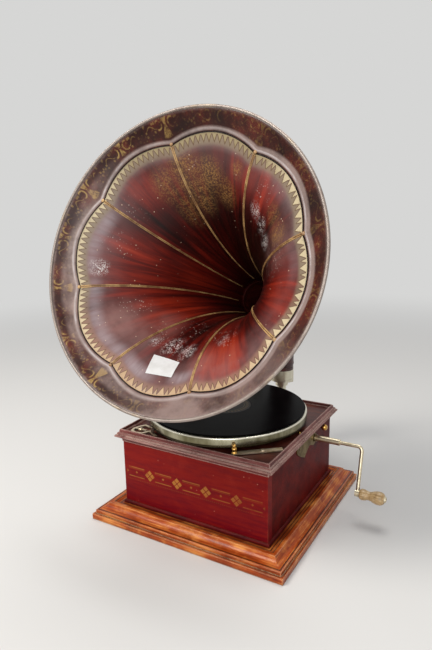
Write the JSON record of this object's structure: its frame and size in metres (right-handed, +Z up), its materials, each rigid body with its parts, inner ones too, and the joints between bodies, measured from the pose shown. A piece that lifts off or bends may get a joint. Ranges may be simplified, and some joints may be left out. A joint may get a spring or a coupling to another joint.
{
  "type": "gramophone",
  "caption": "Wind-up table gramophone: petalled tin horn on a swivelling elbow, hollow sound arm, turntable, spring motor and side crank in a square wooden cabinet.",
  "frame": {"origin": "centre of the square cabinet's base, on the surface it stands on", "axes": "+Z up, -Y to the front where the horn opens, +X to the side with the crank"},
  "size_m": [0.4263, 0.4673, 0.6016],
  "materials": {
    "plinth_wood": "orange-brown varnish, satin",
    "raw_wood": "unfinished softwood",
    "cabinet_wood": "crimson stained, varnished",
    "moulding_wood": "worn rose-brown varnish",
    "board_wood": "stained, satin",
    "handle_wood": "turned, pale varnish",
    "brass": "polished",
    "aged_brass": "tarnished",
    "steel": "machined",
    "nickel": null,
    "worn_nickel": null,
    "leather": "dark pad",
    "felt": "green felt",
    "shellac": null,
    "paper": null,
    "mica": null,
    "horn_paint": "imitation mahogany painted on tinplate",
    "horn_gold": "cream-gold line paint on tinplate"
  },
  "bodies": {
    "cabinet": {"plinth": "plinth_wood", "bottom_board": "raw_wood", "base_rail": "raw_wood", "front_panel": "cabinet_wood", "back_panel": "cabinet_wood", "left_panel": "cabinet_wood", "right_panel": "cabinet_wood", "foot_bead": "cabinet_wood", "top_moulding": "moulding_wood", "motor_board": "board_wood", "board_screws": "brass", "crank_plate": "aged_brass", "motor_plates": "steel", "motor_pillars": "brass", "shaft_bearings": "steel", "arm_bracket": "nickel", "bracket_screws": "brass", "arm_pivot": "steel", "arm_rest": "nickel"},
    "side_knob": {"side_knob": "brass"},
    "speed_lever": {"speed_lever": "aged_brass", "speed_knob": "brass", "governor_arm": "steel"},
    "brake": {"brake_lever": "aged_brass", "brake_pad": "leather"},
    "turntable": {"platter": "nickel", "platter_mat": "felt", "record": "shellac", "record_label": "paper", "spindle": "steel", "governor_wheel": "brass"},
    "middle_shaft": {"middle_arbor": "steel", "middle_wheel": "brass"},
    "barrel": {"spring_barrel": "brass", "barrel_wheel": "brass", "mainspring": "steel"},
    "winder": {"winding_arbor": "steel", "crown_wheel": "brass"},
    "crank": {"winding_shaft": "steel", "crank_sleeve": "worn_nickel", "crank_rod": "worn_nickel", "handle_cap": "worn_nickel"},
    "crank_grip": {"crank_handle": "handle_wood"},
    "governor": {"governor_shaft": "steel", "governor_weights": "brass", "friction_disc": "steel"},
    "sound_arm": {"arm_cup": "nickel", "arm_tube": "nickel"},
    "soundbox": {"gooseneck": "nickel", "soundbox_case": "nickel", "diaphragm": "mica", "needle_bar": "steel", "needle": "steel"},
    "needle_clamp": {"needle_screw": "brass"},
    "horn": {"horn_foot": "horn_paint", "horn_elbow": "horn_paint", "horn_band": "horn_gold", "horn_bell": "horn_paint", "horn_seams": "horn_gold", "horn_rim": "horn_paint", "horn_bead": "horn_gold"}
  },
  "joints": [
    {"name": "platter_spin", "type": "hinge", "parent": "cabinet", "child": "turntable", "pos_m": [-0.006, -0.002, 0.16], "axis": [0, 0, 1], "continuous": true},
    {"name": "middle_shaft_turn", "type": "hinge", "parent": "cabinet", "child": "middle_shaft", "pos_m": [0.00186, 0.02695, 0.08], "axis": [0, 0, 1], "continuous": true},
    {"name": "barrel_turn", "type": "hinge", "parent": "cabinet", "child": "barrel", "pos_m": [0.036, 0.0478, 0.08], "axis": [0, 0, 1], "continuous": true},
    {"name": "governor_spin", "type": "hinge", "parent": "cabinet", "child": "governor", "pos_m": [0, -0.019, 0.099], "axis": [1, 0, 0], "continuous": true},
    {"name": "crank_turn", "type": "hinge", "parent": "cabinet", "child": "crank", "pos_m": [0.125, 0.0478, 0.1139], "axis": [1, 0, 0], "continuous": true},
    {"name": "winder_turn", "type": "hinge", "parent": "cabinet", "child": "winder", "pos_m": [0.036, 0.0478, 0.105], "axis": [0, 0, 1], "continuous": true},
    {"name": "crank_grip_spin", "type": "hinge", "parent": "crank", "child": "crank_grip", "pos_m": [0.204, 0.02968, 0.04628], "axis": [1, 0, 0], "continuous": true},
    {"name": "speed_lever_turn", "type": "hinge", "parent": "cabinet", "child": "speed_lever", "pos_m": [0.098, -0.088, 0.14], "axis": [0, 0, 1], "range_deg": [0, 6]},
    {"name": "brake_turn", "type": "hinge", "parent": "cabinet", "child": "brake", "pos_m": [-0.101, -0.107, 0.14], "axis": [0, 0, 1], "range_deg": [-5, 0]},
    {"name": "side_knob_turn", "type": "hinge", "parent": "cabinet", "child": "side_knob", "pos_m": [0.126, 0.077, 0.1216], "axis": [1, 0, 0], "range_deg": [0, 90]},
    {"name": "sound_arm_swing", "type": "hinge", "parent": "cabinet", "child": "sound_arm", "pos_m": [0, 0.2, 0.158], "axis": [0, 0, 1], "range_deg": [-8, 95]},
    {"name": "soundbox_lift", "type": "hinge", "parent": "sound_arm", "child": "soundbox", "pos_m": [-0.12287, 0.11396, 0.2], "axis": [-0.8192, -0.5736, 0], "range_deg": [0, 160]},
    {"name": "needle_screw_turn", "type": "hinge", "parent": "soundbox", "child": "needle_clamp", "pos_m": [-0.12887, 0.06801, 0.17154], "axis": [-0.7424, -0.5198, 0.4226], "range_deg": [0, 360]},
    {"name": "horn_swivel", "type": "hinge", "parent": "cabinet", "child": "horn", "pos_m": [0, 0.2, 0.175], "axis": [0, 0, 1], "range_deg": [-35, 35]}
  ],
  "couplings": [
    {"joint": "middle_shaft_turn", "follows": "platter_spin", "ratio": -0.25},
    {"joint": "barrel_turn", "follows": "platter_spin", "ratio": 0.0625},
    {"joint": "governor_spin", "follows": "platter_spin", "ratio": 24},
    {"joint": "winder_turn", "follows": "crank_turn", "ratio": 0.33333}
  ]
}
